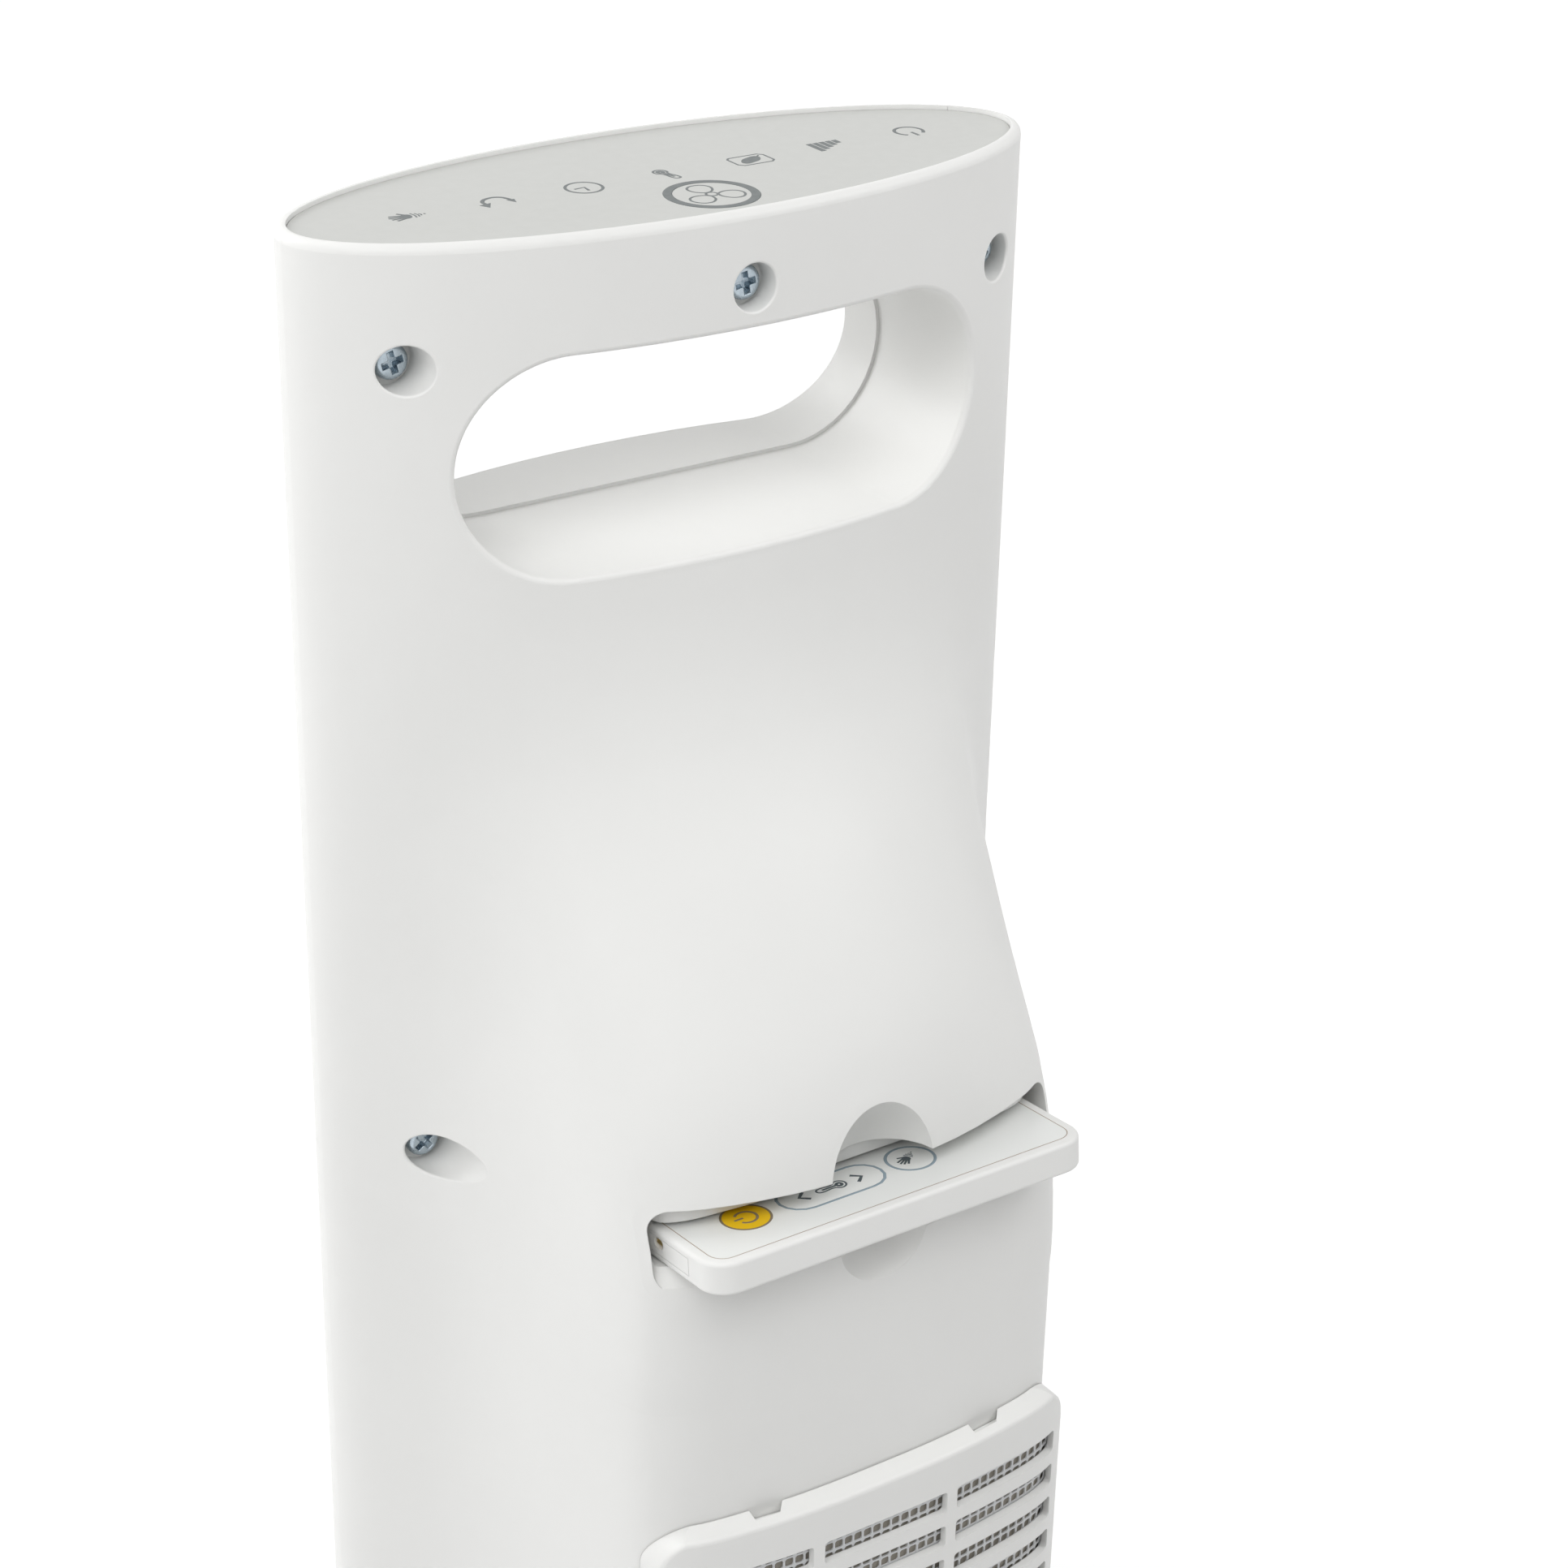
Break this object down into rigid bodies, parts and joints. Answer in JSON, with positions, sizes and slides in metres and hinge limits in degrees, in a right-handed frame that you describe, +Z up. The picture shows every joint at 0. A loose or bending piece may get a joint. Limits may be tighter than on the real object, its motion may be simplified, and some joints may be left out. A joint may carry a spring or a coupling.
{
  "type": "ceramic fan heater",
  "caption": "Slim oval tower fan heater with a carrying handle hole, rear air filter cover, docked remote control and a round base that it swings on.",
  "frame": {"origin": "centre of the base on the floor", "axes": "+Z up, -Y towards the warm air outlet at the front, +X to the left seen from behind"},
  "size_m": [0.212, 0.2118, 0.621],
  "materials": {
    "white_plastic": "satin moulded plastic",
    "grille_plastic": "satin moulded plastic",
    "panel_grey": "fine matt film over plastic",
    "overlay_grey": "printed membrane",
    "screen_white": "fine moulded mesh",
    "zinc_screw": "bluish zinc plate",
    "steel": "turned steel",
    "ballast_iron": "rough cast",
    "motor_steel": "pressed steel can",
    "brass": "turned brass",
    "rubber_grey": "soft rubber",
    "black_plastic": "glass filled plastic",
    "board_green": "coated circuit board",
    "slide_plastic": "slippery plastic",
    "window_dark": "dark tinted window",
    "sensor_milky": "milky dome",
    "fin_aluminium": "thin rolled sheet",
    "heating_ceramic": "pressed heating ceramic"
  },
  "bodies": {
    "base": {"base_cover": "white_plastic", "base_plate": "black_plastic", "ballast_plate": "ballast_iron", "feet": "rubber_grey", "base_screws": "zinc_screw", "cord_gland": "white_plastic", "spindle": "steel", "base_gear": "slide_plastic", "spindle_washer": "steel", "spindle_nut": "steel", "slide_ring": "slide_plastic"},
    "tower": {"rear_shell": "white_plastic", "front_shell": "white_plastic", "tower_floor": "white_plastic", "touch_panel": "panel_grey", "touch_board": "board_green", "outlet_grille": "grille_plastic", "display_window": "window_dark", "display_board": "black_plastic", "motion_sensor": "sensor_milky", "shell_screws": "zinc_screw", "duct_scroll": "black_plastic", "duct_tongue": "black_plastic", "bearing_bush": "brass", "motor_bracket": "steel", "fan_motor": "motor_steel", "heater_frame": "black_plastic", "ptc_fins": "fin_aluminium", "ptc_ceramics": "heating_ceramic", "thermal_cutout": "black_plastic", "power_board": "board_green", "relays": "black_plastic", "temperature_sensor": "black_plastic", "tip_switch": "black_plastic", "swing_motor": "motor_steel"},
    "pinion": {"swing_pinion": "slide_plastic"},
    "fan": {"fan_wheel": "black_plastic", "fan_shaft": "steel"},
    "handset": {"handset_case": "white_plastic", "handset_overlay": "overlay_grey", "handset_board": "board_green", "battery_tray": "white_plastic", "coin_cell": "steel"},
    "filter": {"filter_cover": "grille_plastic", "filter_screen": "screen_white"}
  },
  "joints": [
    {"name": "oscillation", "type": "hinge", "parent": "base", "child": "tower", "pos_m": [0, 0, 0.036], "axis": [0, 0, 1], "range_deg": [-35, 35]},
    {"name": "swing_pinion_spin", "type": "hinge", "parent": "tower", "child": "pinion", "pos_m": [-0.0325, 0, 0.042], "axis": [0, 0, 1], "range_deg": [-117, 117]},
    {"name": "fan_spin", "type": "hinge", "parent": "tower", "child": "fan", "pos_m": [0, 0.021, 0.2], "axis": [0, 0, 1], "continuous": true},
    {"name": "handset_slide", "type": "slide", "parent": "tower", "child": "handset", "axis": [0, 0.9945, 0.1045], "range_m": [0, 0.045]},
    {"name": "filter_cover_slide", "type": "slide", "parent": "tower", "child": "filter", "axis": [0, 1, 0], "range_m": [0, 0.03]}
  ],
  "couplings": [
    {"joint": "swing_pinion_spin", "follows": "oscillation", "ratio": 3.3333}
  ]
}
